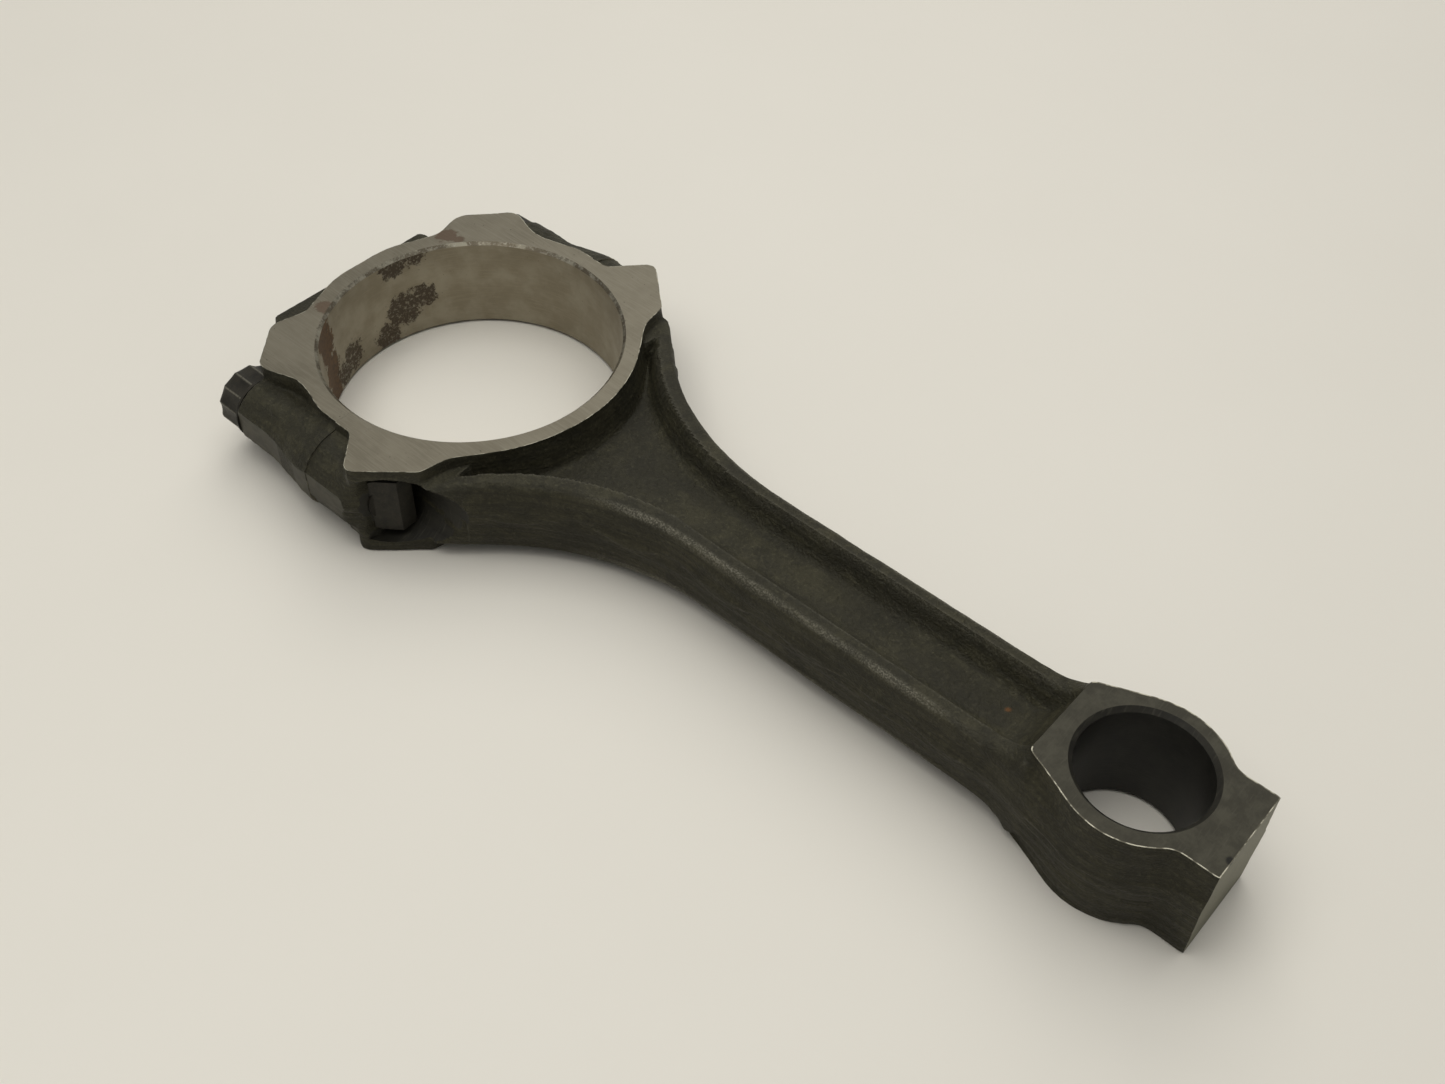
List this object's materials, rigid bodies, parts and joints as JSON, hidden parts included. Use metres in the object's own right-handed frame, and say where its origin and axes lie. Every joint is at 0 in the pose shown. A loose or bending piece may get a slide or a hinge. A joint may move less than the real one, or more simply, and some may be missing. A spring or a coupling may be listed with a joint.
{
  "type": "engine connecting rod",
  "caption": "Forged I-beam connecting rod with a bolted big-end cap, sloped bolt shoulders, twelve-point nuts and milled weight pads.",
  "frame": {"origin": "centre of the crankpin bore at mid-thickness", "axes": "+X from the crankpin bore to the piston-pin bore, +Z along both bores, +Y across the rod"},
  "size_m": [0.2346, 0.0974, 0.0262],
  "materials": {
    "forged_steel": "dark forging skin with ground thrust faces and honed bores",
    "bolt_steel": "black oxide"
  },
  "bodies": {
    "rod": {"rod": "forged_steel", "bolt_near": "bolt_steel", "bolt_far": "bolt_steel"},
    "cap": {"cap": "forged_steel"},
    "nut_near": {"nut_near": "bolt_steel"},
    "nut_far": {"nut_far": "bolt_steel"}
  },
  "joints": [
    {"name": "cap_off", "type": "slide", "parent": "rod", "child": "cap", "axis": [-1, 0, 0], "range_m": [0, 0.04]},
    {"name": "nut_near_turn", "type": "hinge", "parent": "cap", "child": "nut_near", "pos_m": [-0.03, -0.0386, 0], "axis": [-1, 0, 0], "continuous": true},
    {"name": "nut_far_turn", "type": "hinge", "parent": "cap", "child": "nut_far", "pos_m": [-0.03, 0.0386, 0], "axis": [-1, 0, 0], "continuous": true}
  ]
}
